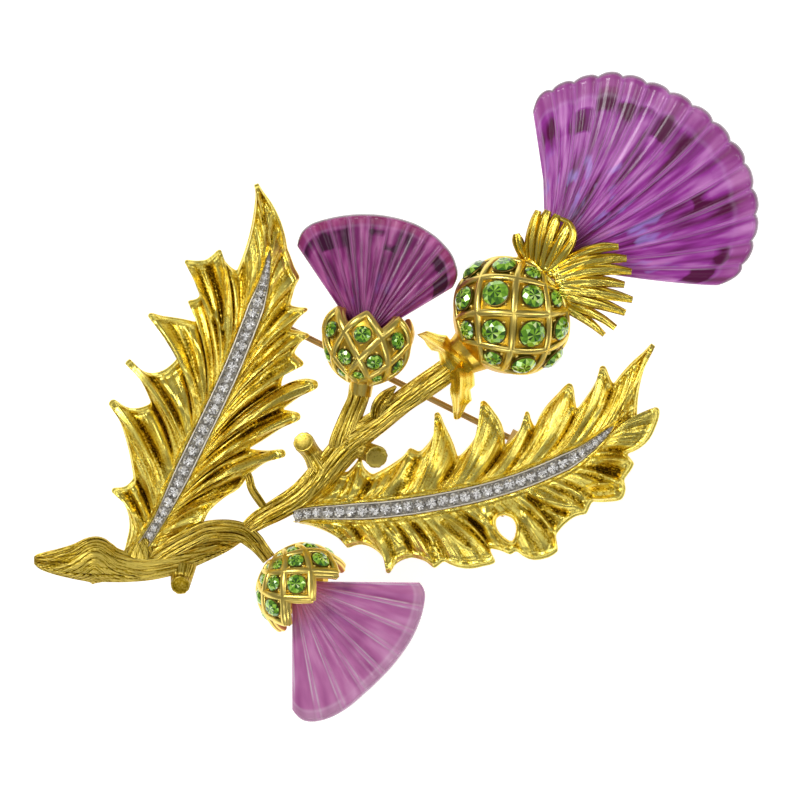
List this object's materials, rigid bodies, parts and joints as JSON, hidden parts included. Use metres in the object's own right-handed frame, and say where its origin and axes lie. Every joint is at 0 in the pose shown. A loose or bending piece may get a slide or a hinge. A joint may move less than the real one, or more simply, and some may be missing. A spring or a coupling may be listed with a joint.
{
  "type": "flower brooch",
  "caption": "Thistle spray brooch: two leaves with stone-set midribs, a twig stem, flower heads of gold lattice cups, green cut stones and fluted violet tufts; hinged pin and catch behind.",
  "frame": {"origin": "centre of the brooch's outline, on the surface that it lies on", "axes": "+X across the front from the stem's cut end to the large tuft, +Y up the front, +Z out of the front"},
  "size_m": [0.094, 0.0846, 0.0133],
  "materials": {
    "gold": "gold-plated casting, bright on the ridges and darker in the grooves",
    "dark_gold": "dull copper-brown plating of the pin parts",
    "silver": "bright rhodium-like plating",
    "clear_stone": "clear cut glass with a dark foil look",
    "green_stone": "light green cut glass",
    "violet": "clear violet moulded resin, polished",
    "plum": "clear plum moulded resin, polished",
    "mauve": "milky mauve moulded resin, polished"
  },
  "bodies": {
    "brooch": {"stem": "gold", "left_leaf": "gold", "right_leaf": "gold", "large_cup": "gold", "middle_cup": "gold", "small_cup": "gold", "left_strip": "silver", "right_strip": "silver", "left_strip_stones": "clear_stone", "right_strip_stones": "clear_stone", "large_tuft": "violet", "middle_tuft": "plum", "small_tuft": "mauve", "pin_hinge": "dark_gold", "pin_catch": "dark_gold", "large_stone_1": "green_stone", "large_stone_2": "green_stone", "large_stone_3": "green_stone", "large_stone_4": "green_stone", "large_stone_5": "green_stone", "large_stone_6": "green_stone", "large_stone_7": "green_stone", "large_stone_8": "green_stone", "large_stone_9": "green_stone", "large_stone_10": "green_stone", "large_stone_11": "green_stone", "large_stone_12": "green_stone", "large_stone_13": "green_stone", "large_stone_14": "green_stone", "middle_stone_1": "green_stone", "middle_stone_2": "green_stone", "middle_stone_3": "green_stone", "middle_stone_4": "green_stone", "middle_stone_5": "green_stone", "middle_stone_6": "green_stone", "middle_stone_7": "green_stone", "middle_stone_8": "green_stone", "middle_stone_9": "green_stone", "middle_stone_10": "green_stone", "small_stone_1": "green_stone", "small_stone_2": "green_stone", "small_stone_3": "green_stone", "small_stone_4": "green_stone", "small_stone_5": "green_stone", "small_stone_6": "green_stone", "small_stone_7": "green_stone", "small_stone_8": "green_stone", "small_stone_9": "green_stone", "small_stone_10": "green_stone", "small_stone_11": "green_stone", "small_stone_12": "green_stone", "small_stone_13": "green_stone", "small_stone_14": "green_stone"},
    "pin": {"pin": "dark_gold"}
  },
  "joints": [
    {"name": "pin_swing", "type": "hinge", "parent": "brooch", "child": "pin", "pos_m": [0.01593, -0.00598, 0.0016], "axis": [-0.4447, -0.8957, 0], "range_deg": [0, 70]}
  ]
}
